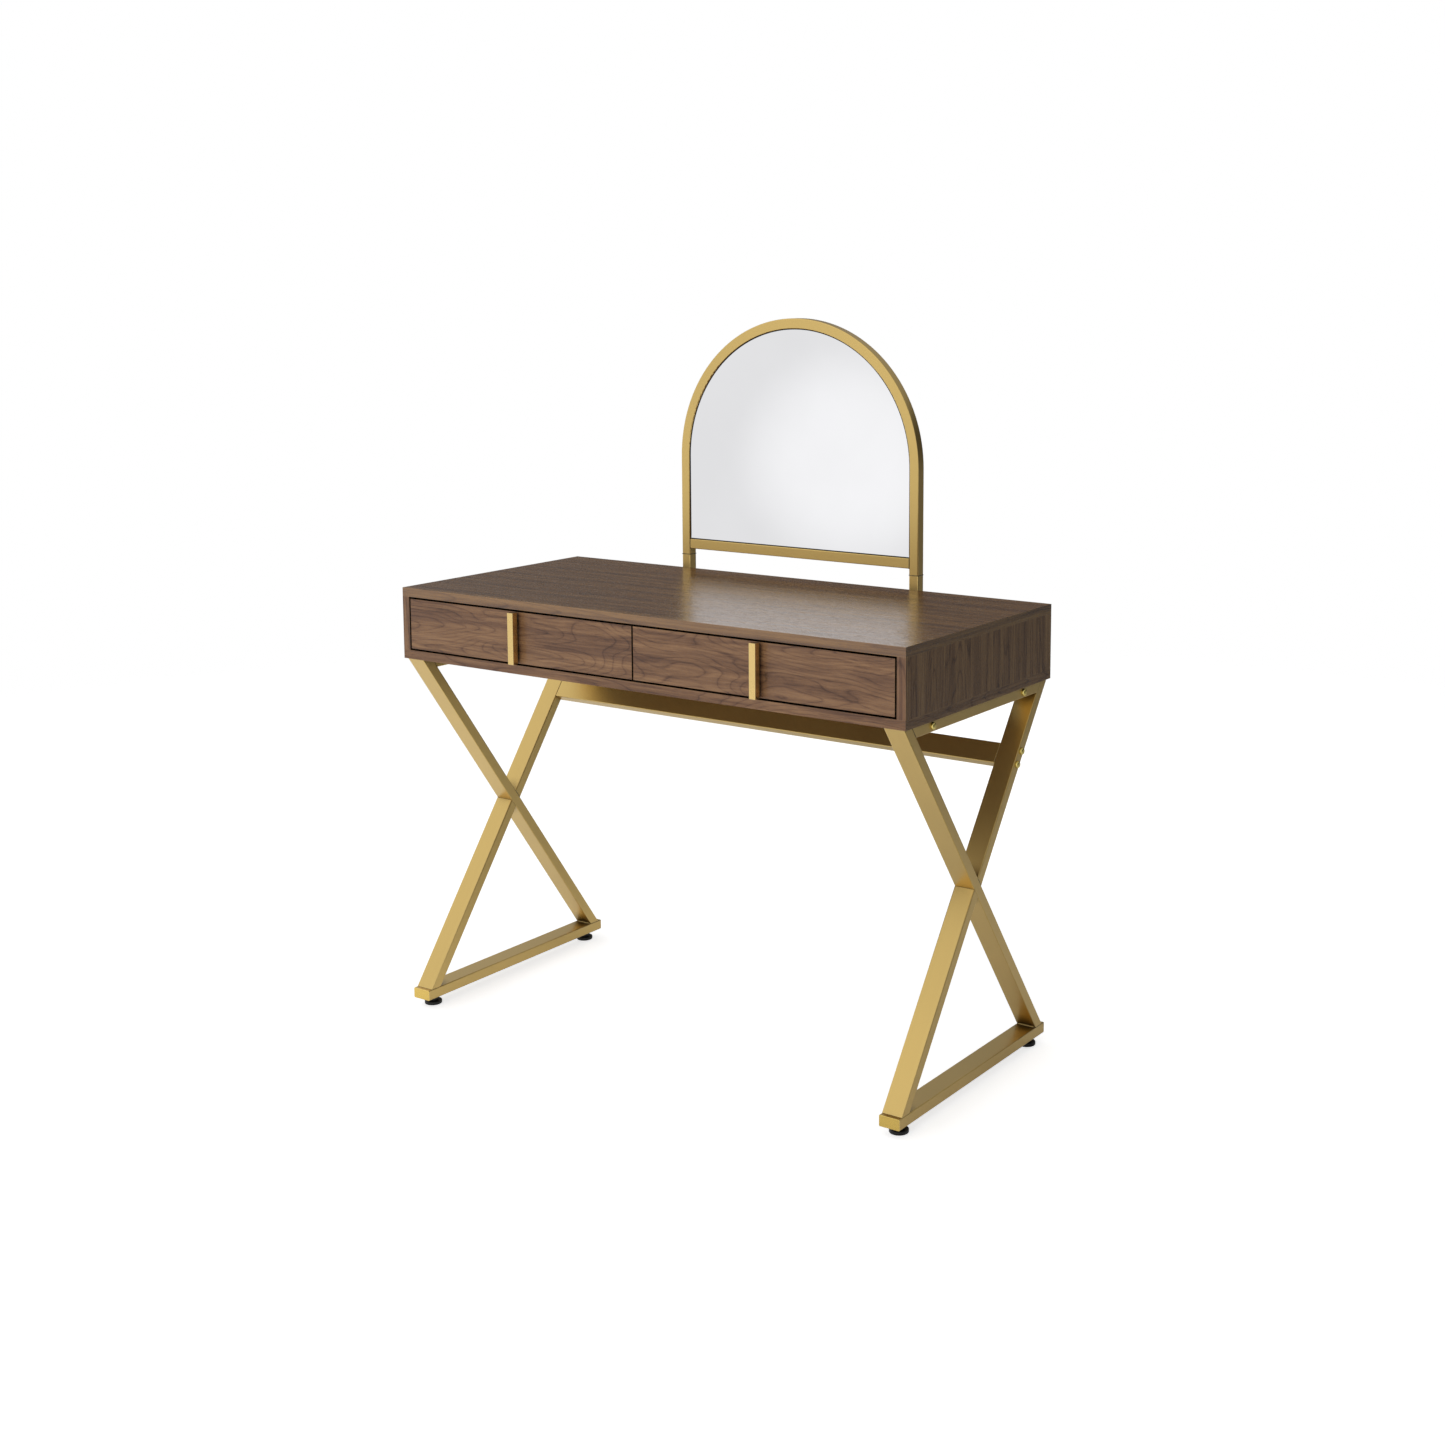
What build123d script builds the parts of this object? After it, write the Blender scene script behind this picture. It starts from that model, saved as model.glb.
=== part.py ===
from build123d import *
import os
from math import hypot

# Vanity table with an arched mirror. Millimetres.
# Origin: on the floor, under the middle of the table top. +X right, -Y front, +Z up.

# ---- driving dimensions -------------------------------------------------------------------------
TABLE_WIDTH = 1066.8
TABLE_DEPTH = 482.6
TABLE_HEIGHT = 787.4
OVERALL_HEIGHT = 1270.0
BOX_HEIGHT = 130.0
BOARD = 16.0
FRONT_GAP = 3.5
CENTRE_GAP = 3.5

TUBE_WIDE = 38.0
TUBE_THIN = 19.0
TUBE_WALL = 1.5
TUBE_CORNER = 1.6
FRAME_INSET = 4.6
FLOOR_CLEARANCE = 16.0
LEG_SPREAD = 226.0
FLOOR_BAR_LENGTH = 492.0
CAP_PLATE = 1.5
CAP_PLUG = 9.0

STRETCHER_HEIGHT = 537.0
STRETCHER_BOLT_PITCH = 25.0
END_PLATE = 5.0
RAIL_BOLT_Y = 151.5
BOLT_RADIUS = 3.0
BOLT_HEAD_RADIUS = 6.25
BOLT_HEAD_HEIGHT = 4.6
BOLT_HOLE_RADIUS = 3.25
RAIL_BOLT_LENGTH = 47.0
STRETCHER_BOLT_LENGTH = 48.0

BRACKET_LENGTH = 40.0
BRACKET_REACH = 28.0
BRACKET_THICK = 3.0
NUT_THICK = 5.0
NUT_RADIUS = 5.6

MIRROR_WIDTH = 532.0
POST_SEAM_HEIGHT = 813.5
CROSSBAR_HEIGHT = 834.5
GLASS_RECESS = 2.5
GLASS_THICK = 4.0
BACKING_THICK = 6.0
GLASS_CLEARANCE = 0.75
TAB_SIZE = 16.0
TAB_THICK = 2.0
POST_BOTTOM = 667.4
POST_BOLT_HEIGHTS = (692.0, 748.0)
POST_BOLT_LENGTH = 31.0
SPIGOT_RISE = 25.0
SPIGOT_PLUG = 20.0
SPIGOT_CLEARANCE = 0.2
INSERT_RADIUS = 5.0
INSERT_DEPTH = 12.0

DRAWER_BOARD = 12.0
DRAWER_SIDE_HEIGHT = 70.0
DRAWER_SIDE_LENGTH = 400.0
DRAWER_LIFT = 8.0
DRAWER_BOTTOM_THICK = 4.0
DRAWER_BOTTOM_LIFT = 6.0
GROOVE_DEPTH = 6.0
GROOVE_CLEARANCE = 0.1

HANDLE_WIDTH = 12.7
HANDLE_DEPTH = 12.0
HANDLE_STANDOFF = 5.0
HANDLE_STANDOFF_RADIUS = 4.0
HANDLE_SCREW_SPACING = 52.0
HANDLE_SCREW_RADIUS = 2.0
HANDLE_SCREW_BITE = 5.0

SLIDE_WIDTH = 12.7
SLIDE_LENGTH = 390.0
SLIDE_SHEET = 1.2
CABINET_RAIL_HEIGHT = 35.0
CABINET_RAIL_REACH = 9.5
RAIL_LIP = 1.0
DRAWER_RAIL_HEIGHT = 24.4
DRAWER_RAIL_REACH = 8.2
CAGE_SHEET = 0.8
CAGE_LENGTH = 84.0
CAGE_WEB_OFFSET = 2.2
CAGE_REACH = 7.8
BALL_RADIUS = 1.7
BALL_HOLE_RADIUS = 1.8
BALL_PITCH = 22.0
BALLS_PER_ROW = 4
RAIL_SCREW_Y = 130.0
RAIL_SCREW_RADIUS = 1.75
RAIL_SCREW_LENGTH = 11.0
RAIL_SCREW_HEAD_RADIUS = 3.5
RAIL_SCREW_HEAD = 0.7

FOOT_RADIUS = 16.0
FOOT_PAD = 6.5
FOOT_NECK_RADIUS = 9.5
FOOT_FROM_BAR_END = 30.0
STUD_RADIUS = 4.0
STUD_TOP = 32.5
STUD_FIT = 0.05
FOOT_INSERT_RADIUS = 5.5
FOOT_INSERT_FLANGE_RADIUS = 8.0
FOOT_INSERT_FLANGE = 1.0
FOOT_INSERT_TOP = 30.0

DOWEL_RADIUS = 4.0
DOWEL_IN_FACE = 10.0
DOWEL_IN_EDGE = 20.0
CAM_RADIUS = 7.5
CAM_DEPTH = 12.5
CAM_FROM_EDGE = 24.0
CAM_BOLT_RADIUS = 3.5
CAM_BOLT_IN_FACE = 10.0
CAM_BOLT_CLEARANCE = 0.3
PANEL_SCREW_RADIUS = 2.0
PANEL_SCREW_HEAD_RADIUS = 4.0
PANEL_SCREW_HEAD = 2.4
PANEL_SCREW_LENGTH = 12.0

# ---- worked-out places --------------------------------------------------------------------------
half_width = TABLE_WIDTH / 2
front_y = -TABLE_DEPTH / 2
back_y = TABLE_DEPTH / 2
box_bottom = TABLE_HEIGHT - BOX_HEIGHT
bay_bottom = box_bottom + BOARD
bay_top = TABLE_HEIGHT - BOARD
side_inner_x = half_width - BOARD
divider_x = BOARD / 2
back_inner_y = back_y - BOARD

frame_outer_x = half_width - FRAME_INSET
frame_inner_x = frame_outer_x - TUBE_WIDE
frame_mid_x = (frame_outer_x + frame_inner_x) / 2
rail_bottom = box_bottom - TUBE_THIN
rail_mid_z = box_bottom - TUBE_THIN / 2
bar_top = FLOOR_CLEARANCE + TUBE_THIN
crossing_z = (box_bottom + bar_top) / 2
leg_rise = (box_bottom - bar_top) / 2
leg_length = hypot(LEG_SPREAD, leg_rise)
leg_lean = LEG_SPREAD / leg_rise
leg_sin = LEG_SPREAD / leg_length
leg_cos = leg_rise / leg_length
leg_half_cut = TUBE_THIN / 2 / leg_cos
bar_half = FLOOR_BAR_LENGTH / 2
foot_y = bar_half - FOOT_FROM_BAR_END
foot_neck_top = FLOOR_CLEARANCE - FOOT_INSERT_FLANGE

mirror_tube = TUBE_THIN
mirror_half = MIRROR_WIDTH / 2
post_x = mirror_half - mirror_tube / 2
mirror_inner = mirror_half - mirror_tube
mirror_mid_y = back_y + mirror_tube / 2
spring_z = OVERALL_HEIGHT - mirror_half
glass_front_y = back_y + GLASS_RECESS
glass_back_y = glass_front_y + GLASS_THICK
backing_back_y = glass_back_y + BACKING_THICK
tab_back_y = backing_back_y + TAB_THICK

drawer_front_bottom = bay_bottom + FRONT_GAP
drawer_front_top = bay_top - FRONT_GAP
drawer_back_y = front_y + BOARD
drawer_mid_z = (bay_bottom + bay_top) / 2
drawer_side_bottom = bay_bottom + DRAWER_LIFT
drawer_side_top = drawer_side_bottom + DRAWER_SIDE_HEIGHT
drawer_end_y = drawer_back_y + DRAWER_SIDE_LENGTH
drawer_bottom_z = drawer_side_bottom + DRAWER_BOTTOM_LIFT
slide_mid_z = drawer_side_bottom + DRAWER_SIDE_HEIGHT / 2
slide_front_y = drawer_back_y + 4.0
slide_back_y = slide_front_y + SLIDE_LENGTH
bay_near_x = divider_x
bay_far_x = side_inner_x
front_near_x = CENTRE_GAP / 2
front_far_x = side_inner_x - FRONT_GAP
handle_x = (front_near_x + front_far_x) / 2
drawer_near_x = bay_near_x + SLIDE_WIDTH
drawer_far_x = bay_far_x - SLIDE_WIDTH
ball_z = (CABINET_RAIL_HEIGHT / 2 - SLIDE_SHEET + DRAWER_RAIL_HEIGHT / 2) / 2
cage_mid_y = (slide_front_y + slide_back_y) / 2


# ---- building blocks ----------------------------------------------------------------------------
def block(x0, x1, y0, y1, z0, z1):
    """A box given by its faces."""
    return Pos((x0 + x1) / 2, (y0 + y1) / 2, (z0 + z1) / 2) * Box(abs(x1 - x0), y1 - y0, z1 - z0)


def rod(radius, start, direction, length):
    """A round bar that starts at a point and runs along a direction."""
    bottom = (Align.CENTER, Align.CENTER, Align.MIN)
    return Plane(origin=start, z_dir=direction) * Cylinder(radius, length, align=bottom)


def side_prism(outline, x0, x1):
    """A flat outline of (y, z) points, drawn out along X."""
    face = make_face(Polyline(*[(x0, y, z) for y, z in outline], close=True))
    return extrude(face, amount=x1 - x0, dir=(1, 0, 0))


def tube_section(wide, thin):
    inner_corner = 0.4
    hollow = RectangleRounded(wide - 2 * TUBE_WALL, thin - 2 * TUBE_WALL, inner_corner)
    return RectangleRounded(wide, thin, TUBE_CORNER) - hollow


def tube(wide, thin, start, end, wide_dir=(1, 0, 0)):
    """Hollow rectangular tube from start to end, its wide side along wide_dir."""
    run = Vector(*end) - Vector(*start)
    plane = Plane(origin=start, x_dir=wide_dir, z_dir=run)
    return plane * extrude(tube_section(wide, thin), run.length)


def domed_bolt(base, direction, shank):
    """Low domed head standing on a face, shank running back into it."""
    out = Vector(*direction)
    rim = 1.2
    head = rod(BOLT_HEAD_RADIUS, base, direction, BOLT_HEAD_HEIGHT)
    head = fillet(head.edges().sort_by(Axis(base, direction))[-1], BOLT_HEAD_HEIGHT - rim)
    return head + rod(BOLT_RADIUS, base, out * -1, shank)


def pan_screw(base, direction, radius, length, head_radius, head_height):
    """Screw with a low head standing on a face, shank running back into it."""
    head = rod(head_radius, base, direction, head_height)
    return head + rod(radius, base, Vector(*direction) * -1, length)


def other_side(shape):
    """The same piece on the other side of the middle of the table."""
    return mirror(shape, about=Plane.YZ)


def both_sides(shapes):
    return Compound(list(shapes) + [other_side(shape) for shape in shapes])


# ---- carcass ------------------------------------------------------------------------------------
side_dowel_ys = (-120.0, 120.0)
cam_ys = (-180.0, 180.0)
divider_dowel_ys = (-150.0, 150.0)
back_dowel_xs = (-400.0, -135.0, 135.0, 400.0)


def dowel_spots():
    """Middle line of every carcass dowel: x, y."""
    x = side_inner_x + BOARD / 2
    spots = [(side * x, y) for side in (-1, 1) for y in side_dowel_ys]
    spots += [(0.0, y) for y in divider_dowel_ys]
    spots += [(x, back_inner_y + BOARD / 2) for x in back_dowel_xs]
    return spots


def dowel(x, y, upper):
    """Dowel across the joint under the top board (upper) or over the bottom board."""
    if upper:
        return block_rod(x, y, bay_top - DOWEL_IN_EDGE, bay_top + DOWEL_IN_FACE)
    return block_rod(x, y, bay_bottom - DOWEL_IN_FACE, bay_bottom + DOWEL_IN_EDGE)


def block_rod(x, y, z0, z1, radius=DOWEL_RADIUS):
    return rod(radius, (x, y, z0), (0, 0, 1), z1 - z0)


def carcass_dowels():
    return [dowel(x, y, upper) for x, y in dowel_spots() for upper in (False, True)]


def cam_spots():
    """Every cam fitting: side (-1 or 1), y, and whether it holds the top board."""
    return [(side, y, upper) for side in (-1, 1) for y in cam_ys for upper in (False, True)]


def cam_disc_room(side, y, upper, radius, depth):
    z = bay_top - CAM_FROM_EDGE if upper else bay_bottom + CAM_FROM_EDGE
    return rod(radius, (side * side_inner_x, y, z), (side, 0, 0), depth)


def cam_bolt_room(side, y, upper, radius):
    x = side * (side_inner_x + BOARD / 2)
    if upper:
        return block_rod(x, y, bay_top - CAM_FROM_EDGE, bay_top + CAM_BOLT_IN_FACE, radius)
    return block_rod(x, y, bay_bottom - CAM_BOLT_IN_FACE, bay_bottom + CAM_FROM_EDGE, radius)


def cam_fitting(side, y, upper):
    """Cam disc in the side board's inner face, and the bolt that it pulls."""
    disc = cam_disc_room(side, y, upper, CAM_RADIUS, CAM_DEPTH)
    disc -= cam_bolt_room(side, y, upper, CAM_BOLT_RADIUS + CAM_BOLT_CLEARANCE)
    slot = 1.2
    z = bay_top - CAM_FROM_EDGE if upper else bay_bottom + CAM_FROM_EDGE
    edge = side * side_inner_x
    disc -= block(edge - slot, edge + slot, y - slot / 2, y + slot / 2, z - CAM_RADIUS, z + CAM_RADIUS)
    return [disc, cam_bolt_room(side, y, upper, CAM_BOLT_RADIUS)]


def drilled(panel):
    """A carcass board with the holes for its dowels and cam fittings."""
    for x, y in dowel_spots():
        for upper in (False, True):
            panel -= dowel(x, y, upper)
    for side, y, upper in cam_spots():
        panel -= cam_disc_room(side, y, upper, CAM_RADIUS, CAM_DEPTH)
        panel -= cam_bolt_room(side, y, upper, CAM_BOLT_RADIUS)
    return panel


def top_panel():
    return drilled(block(-half_width, half_width, front_y, back_y, bay_top, TABLE_HEIGHT))


def bottom_panel():
    panel = drilled(block(-half_width, half_width, front_y, back_y, box_bottom, bay_bottom))
    for x, y in bracket_screw_spots():
        panel -= block_rod(x, y, box_bottom, box_bottom + PANEL_SCREW_LENGTH, PANEL_SCREW_RADIUS)
    return panel


def side_panel():
    panel = drilled(block(side_inner_x, half_width, front_y, back_y, bay_bottom, bay_top))
    for screw in cabinet_rail_screws():
        panel -= screw
    return panel


def back_panel():
    panel = drilled(block(-side_inner_x, side_inner_x, back_inner_y, back_y, bay_bottom, bay_top))
    for side in (-1, 1):
        for z in POST_BOLT_HEIGHTS:
            panel -= rod(INSERT_RADIUS, (side * post_x, back_y, z), (0, -1, 0), POST_BOLT_LENGTH)
    return panel


def centre_divider():
    divider_front_y = drawer_back_y + 2.0
    panel = drilled(block(-divider_x, divider_x, divider_front_y, back_inner_y, bay_bottom, bay_top))
    for screw in cabinet_rail_screws():
        panel -= screw
        panel -= other_side(screw)
    return panel


# ---- side frames --------------------------------------------------------------------------------
def leg_y(z, lean):
    """Where a leg's middle line is at a height. lean is +1 for a leg that leans back as it rises."""
    return lean * (z - crossing_z) * leg_lean


def whole_leg(lean):
    """Tube along a leg's middle line, longer than the leg, for cutting to length."""
    extra = 40.0
    low = crossing_z - leg_rise - extra
    high = crossing_z + leg_rise + extra
    start = (frame_mid_x, leg_y(low, lean), low)
    end = (frame_mid_x, leg_y(high, lean), high)
    return tube(TUBE_WIDE, TUBE_THIN, start, end)


def leg_band(z0, z1, lean):
    """The leg's outline between two level cuts."""
    margin = 1.0
    reach = leg_half_cut + margin
    outline = [(leg_y(z0, lean) - reach, z0), (leg_y(z0, lean) + reach, z0),
               (leg_y(z1, lean) + reach, z1), (leg_y(z1, lean) - reach, z1)]
    return side_prism(outline, frame_inner_x, frame_outer_x)


def front_leg():
    """The through leg: from the box's front edge down to the back of the floor bar."""
    return whole_leg(-1) & leg_band(bar_top, box_bottom, -1)


def front_leg_room():
    """The space that the through leg takes, without its hollow, a little wider than the frame."""
    margin = 1.0
    outline = [(leg_y(z, -1) + shift, z) for z, shift in
               ((0.0, -leg_half_cut), (0.0, leg_half_cut),
                (TABLE_HEIGHT, leg_half_cut), (TABLE_HEIGHT, -leg_half_cut))]
    return side_prism(outline, frame_inner_x - margin, frame_outer_x + margin)


def rear_leg_room():
    return mirror(front_leg_room(), about=Plane.XZ)


def rear_leg_upper():
    """Upper half of the leg that leans back: from the through leg up to the box's back edge."""
    leg = whole_leg(1) & leg_band(crossing_z - leg_half_cut, box_bottom, 1)
    leg -= front_leg_room()
    leg = leg.solids().sort_by(Axis.Z)[-1]
    for y, z in stretcher_bolt_spots():
        leg -= rod(BOLT_HOLE_RADIUS, (frame_inner_x, y, z), (1, 0, 0), TUBE_WIDE)
    return leg


def rear_leg_lower():
    """Lower half of the same leg: from the floor bar's front up to the through leg."""
    leg = whole_leg(1) & leg_band(bar_top, crossing_z + leg_half_cut, 1)
    leg -= front_leg_room()
    return leg.solids().sort_by(Axis.Z)[0]


def top_rail():
    """Rail under the box between the two legs, its ends cut along them."""
    reach = leg_y(box_bottom, 1)
    rail = tube(TUBE_WIDE, TUBE_THIN, (frame_mid_x, -reach, rail_mid_z), (frame_mid_x, reach, rail_mid_z))
    rail -= front_leg_room()
    rail -= rear_leg_room()
    rail = rail.solids().sort_by(lambda solid: solid.volume)[-1]
    for y in (-RAIL_BOLT_Y, RAIL_BOLT_Y):
        rail -= rod(BOLT_HOLE_RADIUS, (frame_inner_x, y, rail_mid_z), (1, 0, 0), TUBE_WIDE)
    return rail


def floor_bar():
    middle = FLOOR_CLEARANCE + TUBE_THIN / 2
    reach = bar_half - CAP_PLATE
    bar = tube(TUBE_WIDE, TUBE_THIN, (frame_mid_x, -reach, middle), (frame_mid_x, reach, middle))
    for y in (-foot_y, foot_y):
        bar -= block_rod(frame_mid_x, y, FLOOR_CLEARANCE, FLOOR_CLEARANCE + 2 * TUBE_WALL, FOOT_INSERT_RADIUS)
    return bar


def tube_cap(wide, thin):
    """End cap: a plate the size of the tube, and a plug that goes into it along +Z."""
    fit = 0.1
    soft_edge = 0.5
    plate = extrude(RectangleRounded(wide, thin, TUBE_CORNER), -CAP_PLATE)
    plate = fillet(plate.faces().sort_by(Axis.Z)[0].edges(), soft_edge)
    plug = RectangleRounded(wide - 2 * TUBE_WALL - fit, thin - 2 * TUBE_WALL - fit, soft_edge)
    return plate + extrude(plug, CAP_PLUG)


def tube_end_caps():
    reach = bar_half - CAP_PLATE
    middle = FLOOR_CLEARANCE + TUBE_THIN / 2
    caps = []
    for side in (-1, 1):
        for end in (-1, 1):
            origin = (side * frame_mid_x, end * reach, middle)
            plane = Plane(origin=origin, x_dir=(1, 0, 0), z_dir=(0, -end, 0))
            caps.append(plane * tube_cap(TUBE_WIDE, TUBE_THIN))
        caps.append(Pos(side * post_x, mirror_mid_y, POST_BOTTOM) * tube_cap(mirror_tube, mirror_tube))
    return Compound(caps)


# ---- stretcher and frame fasteners --------------------------------------------------------------
def stretcher_bolt_spots():
    """The two bolts, along the leg about the stretcher's middle line: y, z."""
    y = leg_y(STRETCHER_HEIGHT, 1)
    half = STRETCHER_BOLT_PITCH / 2
    return [(y + step * leg_sin, STRETCHER_HEIGHT + step * leg_cos) for step in (-half, half)]


def rear_stretcher():
    """Tube between the two frames, its wide face along the rear upper legs."""
    y = leg_y(STRETCHER_HEIGHT, 1)
    start = (-frame_inner_x, y, STRETCHER_HEIGHT)
    end = (frame_inner_x, y, STRETCHER_HEIGHT)
    return tube(TUBE_WIDE, TUBE_THIN, start, end, wide_dir=(0, leg_sin, leg_cos))


def stretcher_end_plates():
    """Threaded plates welded inside the stretcher's ends."""
    fit = 0.1
    y = leg_y(STRETCHER_HEIGHT, 1)
    plane = Plane(origin=(frame_inner_x, y, STRETCHER_HEIGHT), x_dir=(0, leg_sin, leg_cos), z_dir=(-1, 0, 0))
    outline = RectangleRounded(TUBE_WIDE - 2 * TUBE_WALL - fit, TUBE_THIN - 2 * TUBE_WALL - fit, 0.5)
    plate = plane * extrude(outline, END_PLATE)
    for bolt_y, bolt_z in stretcher_bolt_spots():
        plate -= rod(BOLT_RADIUS, (frame_inner_x, bolt_y, bolt_z), (-1, 0, 0), END_PLATE)
    return both_sides([plate])


def stretcher_bolts():
    return both_sides([domed_bolt((frame_outer_x, y, z), (1, 0, 0), STRETCHER_BOLT_LENGTH)
                       for y, z in stretcher_bolt_spots()])


def rail_bolts():
    return both_sides([domed_bolt((frame_outer_x, y, rail_mid_z), (1, 0, 0), RAIL_BOLT_LENGTH)
                       for y in (-RAIL_BOLT_Y, RAIL_BOLT_Y)])


def rail_bracket(y):
    """Angle under the box, with a welded nut that takes the rail's bolt."""
    half = BRACKET_LENGTH / 2
    upright_x = frame_inner_x - BRACKET_THICK
    angle = block(upright_x, frame_inner_x, y - half, y + half, rail_bottom, box_bottom)
    angle += block(frame_inner_x - BRACKET_REACH, frame_inner_x, y - half, y + half,
                   box_bottom - BRACKET_THICK, box_bottom)
    nut_plane = Plane(origin=(upright_x, y, rail_mid_z), x_dir=(0, 1, 0), z_dir=(-1, 0, 0))
    angle += nut_plane * extrude(RegularPolygon(NUT_RADIUS, 6), NUT_THICK)
    angle -= rod(BOLT_RADIUS, (frame_inner_x, y, rail_mid_z), (-1, 0, 0), BRACKET_THICK + NUT_THICK)
    for x, screw_y in bracket_screw_spots():
        angle -= block_rod(x, screw_y, rail_bottom, box_bottom, PANEL_SCREW_RADIUS)
    return angle


def bracket_screw_spots():
    """The wood screws up through the angles: x, y."""
    x = frame_inner_x - BRACKET_REACH + 8.0
    apart = 12.0
    return [(side * x, end * RAIL_BOLT_Y + step)
            for side in (-1, 1) for end in (-1, 1) for step in (-apart, apart)]


def rail_brackets():
    return both_sides([rail_bracket(y) for y in (-RAIL_BOLT_Y, RAIL_BOLT_Y)])


# ---- feet ---------------------------------------------------------------------------------------
def foot_insert(y):
    """Threaded rivet nut in the floor bar's underside."""
    insert = block_rod(frame_mid_x, y, FLOOR_CLEARANCE - FOOT_INSERT_FLANGE, FLOOR_CLEARANCE,
                       FOOT_INSERT_FLANGE_RADIUS)
    insert += block_rod(frame_mid_x, y, FLOOR_CLEARANCE, FOOT_INSERT_TOP, FOOT_INSERT_RADIUS)
    return insert - block_rod(frame_mid_x, y, 0, TABLE_HEIGHT, STUD_RADIUS + STUD_FIT)


def levelling_foot(side, end):
    """Moulded pad and neck on a threaded stud, screwed home against the insert."""
    soft_edge = 1.6
    x = side * frame_mid_x
    y = end * foot_y
    pad = block_rod(x, y, 0, FOOT_PAD, FOOT_RADIUS)
    pad = fillet(pad.edges().filter_by(GeomType.CIRCLE), soft_edge)
    foot = pad + block_rod(x, y, FOOT_PAD / 2, foot_neck_top, FOOT_NECK_RADIUS)
    return foot + block_rod(x, y, foot_neck_top, STUD_TOP, STUD_RADIUS)


# ---- mirror -------------------------------------------------------------------------------------
def arch_face(half, bottom):
    """Outline with a half-round top about the spring line, flat bottom, drawn in the XZ plane."""
    left = Line((-half, 0, bottom), (-half, 0, spring_z))
    arc = ThreePointArc((-half, 0, spring_z), (0, 0, spring_z + half), (half, 0, spring_z))
    right = Line((half, 0, spring_z), (half, 0, bottom))
    base = Line((half, 0, bottom), (-half, 0, bottom))
    return make_face([left, arc, right, base])


def arch_plate(half, bottom, y0, y1):
    return Pos(0, y0, 0) * extrude(arch_face(half, bottom), amount=y1 - y0, dir=(0, 1, 0))


def mirror_arch_frame():
    """One square tube bent over the top, down to the seams with the posts."""
    path = Wire([
        Line((-post_x, mirror_mid_y, POST_SEAM_HEIGHT), (-post_x, mirror_mid_y, spring_z)).edge(),
        ThreePointArc((-post_x, mirror_mid_y, spring_z), (0, mirror_mid_y, spring_z + post_x),
                      (post_x, mirror_mid_y, spring_z)).edge(),
        Line((post_x, mirror_mid_y, spring_z), (post_x, mirror_mid_y, POST_SEAM_HEIGHT)).edge()])
    section_plane = Plane(origin=(-post_x, mirror_mid_y, POST_SEAM_HEIGHT), x_dir=(1, 0, 0), z_dir=(0, 0, 1))
    inner = mirror_tube - 2 * TUBE_WALL
    outer_body = sweep(section_plane * RectangleRounded(mirror_tube, mirror_tube, TUBE_CORNER), path=path)
    return outer_body - sweep(section_plane * RectangleRounded(inner, inner, 0.4), path=path)


def mirror_crossbar():
    start = (-mirror_inner, mirror_mid_y, CROSSBAR_HEIGHT)
    end = (mirror_inner, mirror_mid_y, CROSSBAR_HEIGHT)
    return tube(mirror_tube, mirror_tube, start, end, wide_dir=(0, 1, 0))


glass_half = mirror_inner - GLASS_CLEARANCE
glass_bottom = CROSSBAR_HEIGHT + mirror_tube / 2 + GLASS_CLEARANCE


def mirror_glass():
    return arch_plate(glass_half, glass_bottom, glass_front_y, glass_back_y)


def mirror_tab_spots():
    """Screw place on each tab behind the backing board: x, z."""
    inset = TAB_SIZE / 2
    crossbar_top = CROSSBAR_HEIGHT + mirror_tube / 2
    tab_x = 130.0
    low_z = 930.0
    spots = [(side * (mirror_inner - inset), z) for side in (-1, 1) for z in (low_z, spring_z)]
    spots += [(side * tab_x, crossbar_top + inset) for side in (-1, 1)]
    spots.append((0.0, spring_z + mirror_inner - inset))
    return spots


def mirror_backing_board():
    board = arch_plate(glass_half, glass_bottom, glass_back_y, backing_back_y)
    for x, z in mirror_tab_spots():
        board -= tab_screw(x, z)
    return board


def mirror_tabs():
    """Small plates welded to the frame's inner faces, behind the backing board."""
    half = TAB_SIZE / 2
    inside = arch_plate(mirror_inner, CROSSBAR_HEIGHT + mirror_tube / 2, backing_back_y, tab_back_y)
    tabs = []
    for x, z in mirror_tab_spots():
        tab = block(x - half, x + half, backing_back_y, tab_back_y, z - half, z + half)
        tabs.append((tab & inside) - tab_screw(x, z))
    return Compound(tabs)


def tab_screw(x, z):
    return pan_screw((x, tab_back_y, z), (0, 1, 0), RAIL_SCREW_RADIUS, TAB_THICK + 4.0,
                     RAIL_SCREW_HEAD_RADIUS, 1.8)


def mirror_post():
    """Square tube behind the carcass, with a plug that goes up into the arch frame's leg."""
    inner = mirror_tube - 2 * TUBE_WALL
    spigot_half = inner / 2 - SPIGOT_CLEARANCE
    start = (post_x, mirror_mid_y, POST_BOTTOM)
    seam = (post_x, mirror_mid_y, POST_SEAM_HEIGHT)
    post = tube(mirror_tube, mirror_tube, start, seam)
    post += block(post_x - inner / 2, post_x + inner / 2, mirror_mid_y - inner / 2, mirror_mid_y + inner / 2,
                  POST_SEAM_HEIGHT - SPIGOT_PLUG, POST_SEAM_HEIGHT)
    post += block(post_x - spigot_half, post_x + spigot_half, mirror_mid_y - spigot_half,
                  mirror_mid_y + spigot_half, POST_SEAM_HEIGHT, POST_SEAM_HEIGHT + SPIGOT_RISE)
    for z in POST_BOLT_HEIGHTS:
        post -= rod(BOLT_HOLE_RADIUS, (post_x, back_y, z), (0, 1, 0), mirror_tube)
    return post


def post_bolts():
    return both_sides([domed_bolt((post_x, back_y + mirror_tube, z), (0, 1, 0), POST_BOLT_LENGTH)
                       for z in POST_BOLT_HEIGHTS])


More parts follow.
